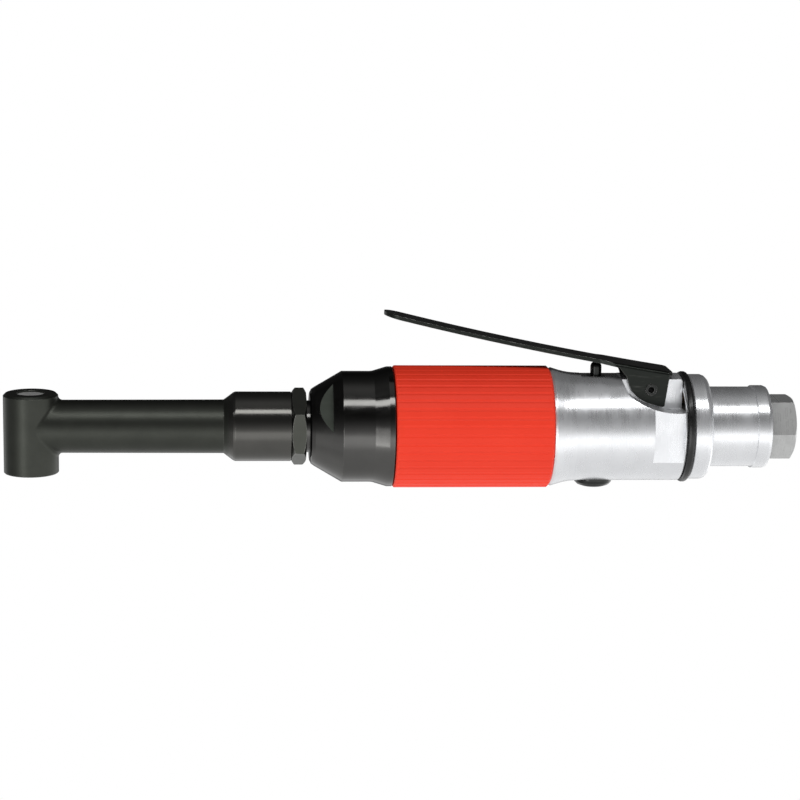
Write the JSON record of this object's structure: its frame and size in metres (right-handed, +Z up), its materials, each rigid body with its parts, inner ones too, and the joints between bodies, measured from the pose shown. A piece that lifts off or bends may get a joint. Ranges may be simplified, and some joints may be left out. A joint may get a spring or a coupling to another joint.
{
  "type": "right-angle air drill",
  "caption": "Slim right-angle pneumatic drill with a lever throttle, ribbed grip sleeve, planetary reduction, angle head and rear pipe-thread inlet.",
  "frame": {"origin": "mouth of the output spindle's internal thread, on the angle head's axis", "axes": "+X along the tool from the head to the air inlet, +Z up from the spindle's mouth towards the lever side, -Y the side seen with the head on the left"},
  "size_m": [0.2456, 0.038, 0.0554],
  "materials": {
    "black_oxide_steel": "matte black oxide over turned steel",
    "lever_steel": "blackened pressed sheet, slightly glossy",
    "bright_steel": "ground and polished steel",
    "gear_steel": "hardened gear steel, oiled",
    "handle_aluminium": "polished, fine turning marks",
    "red_grip": "satin moulded sleeve with fine lengthwise ribs",
    "black_rubber": "smooth moulded rubber",
    "bronze": "sintered bronze",
    "guide_steel": "blackened steel",
    "vane_composite": "resin and cloth laminate",
    "spring_steel": "drawn wire",
    "inlet_steel": "nickel plated steel, worn",
    "screen_steel": "perforated stainless sheet"
  },
  "bodies": {
    "tool_body": {"angle_head_housing": "black_oxide_steel", "spindle_top_bush": "bright_steel", "spindle_retainer": "black_oxide_steel", "spindle_bearing_outer": "bright_steel", "pinion_bearing_outer": "bright_steel", "neck_bush": "bronze", "jam_nut": "black_oxide_steel", "gear_housing": "black_oxide_steel", "carrier_bearing_outer": "bright_steel", "ring_gear": "gear_steel", "front_end_plate": "handle_aluminium", "rear_end_plate": "handle_aluminium", "motor_cylinder": "gear_steel", "motor_dowel": "bright_steel", "motor_washer": "bright_steel", "front_rotor_bearing_outer": "bright_steel", "rear_rotor_bearing_outer": "bright_steel", "motor_housing": "handle_aluminium", "grip_sleeve": "red_grip", "lever_pin": "guide_steel", "valve_sleeve": "bronze", "plunger_guide": "guide_steel", "valve_spring": "spring_steel", "valve_plug": "black_oxide_steel", "plug_seal": "black_rubber", "cap_seal": "black_rubber", "exhaust_cap": "handle_aluminium", "muffler_ring": "bronze", "inlet_bushing": "inlet_steel", "inlet_screen": "screen_steel"},
    "spindle": {"output_spindle": "bright_steel", "spindle_bevel_gear": "gear_steel", "spindle_bearing_inner": "bright_steel"},
    "spindle_balls": {"spindle_bearing_balls": "bright_steel"},
    "carrier": {"planet_carrier": "gear_steel", "planet_pins": "bright_steel", "pinion_shaft": "gear_steel", "bevel_pinion": "gear_steel", "pinion_bearing_inner": "bright_steel", "carrier_bearing_inner": "bright_steel"},
    "pinion_balls": {"pinion_bearing_balls": "bright_steel"},
    "carrier_balls": {"carrier_bearing_balls": "bright_steel"},
    "planet_1": {"planet_gear_1": "gear_steel"},
    "planet_2": {"planet_gear_2": "gear_steel"},
    "planet_3": {"planet_gear_3": "gear_steel"},
    "rotor": {"rotor": "gear_steel", "rotor_vanes": "vane_composite", "sun_pinion": "gear_steel", "front_rotor_bearing_inner": "bright_steel", "rear_rotor_bearing_inner": "bright_steel"},
    "front_rotor_balls": {"front_rotor_bearing_balls": "bright_steel"},
    "rear_rotor_balls": {"rear_rotor_bearing_balls": "bright_steel"},
    "lever": {"lever": "lever_steel"},
    "plunger": {"throttle_plunger": "guide_steel", "poppet_seal": "black_rubber"}
  },
  "joints": [
    {"name": "rotor_spin", "type": "hinge", "parent": "tool_body", "child": "rotor", "pos_m": [0.13, 0, 0.0144], "axis": [-1, 0, 0], "continuous": true},
    {"name": "carrier_spin", "type": "hinge", "parent": "tool_body", "child": "carrier", "pos_m": [0.09, 0, 0.0144], "axis": [-1, 0, 0], "continuous": true},
    {"name": "spindle_spin", "type": "hinge", "parent": "tool_body", "child": "spindle", "pos_m": [0, 0, 0.0044], "axis": [0, 0, -1], "continuous": true},
    {"name": "planet_1_spin", "type": "hinge", "parent": "carrier", "child": "planet_1", "pos_m": [0.0998, 0, 0.0225], "axis": [-1, 0, 0], "continuous": true},
    {"name": "planet_2_spin", "type": "hinge", "parent": "carrier", "child": "planet_2", "pos_m": [0.0998, -0.00701, 0.01035], "axis": [-1, 0, 0], "continuous": true},
    {"name": "planet_3_spin", "type": "hinge", "parent": "carrier", "child": "planet_3", "pos_m": [0.0998, 0.00701, 0.01035], "axis": [-1, 0, 0], "continuous": true},
    {"name": "spindle_balls_spin", "type": "hinge", "parent": "tool_body", "child": "spindle_balls", "pos_m": [0, 0, 0.0044], "axis": [0, 0, -1], "continuous": true},
    {"name": "pinion_balls_spin", "type": "hinge", "parent": "tool_body", "child": "pinion_balls", "pos_m": [0.0107, 0, 0.0144], "axis": [-1, 0, 0], "continuous": true},
    {"name": "carrier_balls_spin", "type": "hinge", "parent": "tool_body", "child": "carrier_balls", "pos_m": [0.0905, 0, 0.0144], "axis": [-1, 0, 0], "continuous": true},
    {"name": "front_rotor_balls_spin", "type": "hinge", "parent": "tool_body", "child": "front_rotor_balls", "pos_m": [0.1071, 0, 0.0144], "axis": [-1, 0, 0], "continuous": true},
    {"name": "rear_rotor_balls_spin", "type": "hinge", "parent": "tool_body", "child": "rear_rotor_balls", "pos_m": [0.1519, 0, 0.0144], "axis": [-1, 0, 0], "continuous": true},
    {"name": "lever_hinge", "type": "hinge", "parent": "tool_body", "child": "lever", "pos_m": [0.191, 0, 0.0274], "axis": [0, -1, 0], "range_deg": [0, 8], "stiffness_Nm_per_rad": 0.3, "springref_deg": -20.05},
    {"name": "plunger_slide", "type": "slide", "parent": "tool_body", "child": "plunger", "axis": [0, 0, -1], "range_m": [0, 0.0024], "deforming": ["valve_spring"]}
  ],
  "couplings": [
    {"joint": "carrier_spin", "follows": "rotor_spin", "ratio": 0.22222},
    {"joint": "spindle_spin", "follows": "rotor_spin", "ratio": 0.22222},
    {"joint": "planet_1_spin", "follows": "rotor_spin", "ratio": -0.62222},
    {"joint": "planet_2_spin", "follows": "rotor_spin", "ratio": -0.62222},
    {"joint": "planet_3_spin", "follows": "rotor_spin", "ratio": -0.62222},
    {"joint": "spindle_balls_spin", "follows": "rotor_spin", "ratio": 0.094141},
    {"joint": "pinion_balls_spin", "follows": "rotor_spin", "ratio": 0.088187},
    {"joint": "carrier_balls_spin", "follows": "rotor_spin", "ratio": 0.09037},
    {"joint": "front_rotor_balls_spin", "follows": "rotor_spin", "ratio": 0.41385},
    {"joint": "rear_rotor_balls_spin", "follows": "rotor_spin", "ratio": 0.39684},
    {"joint": "plunger_slide", "follows": "lever_hinge", "m_per_rad": 0.0164}
  ]
}
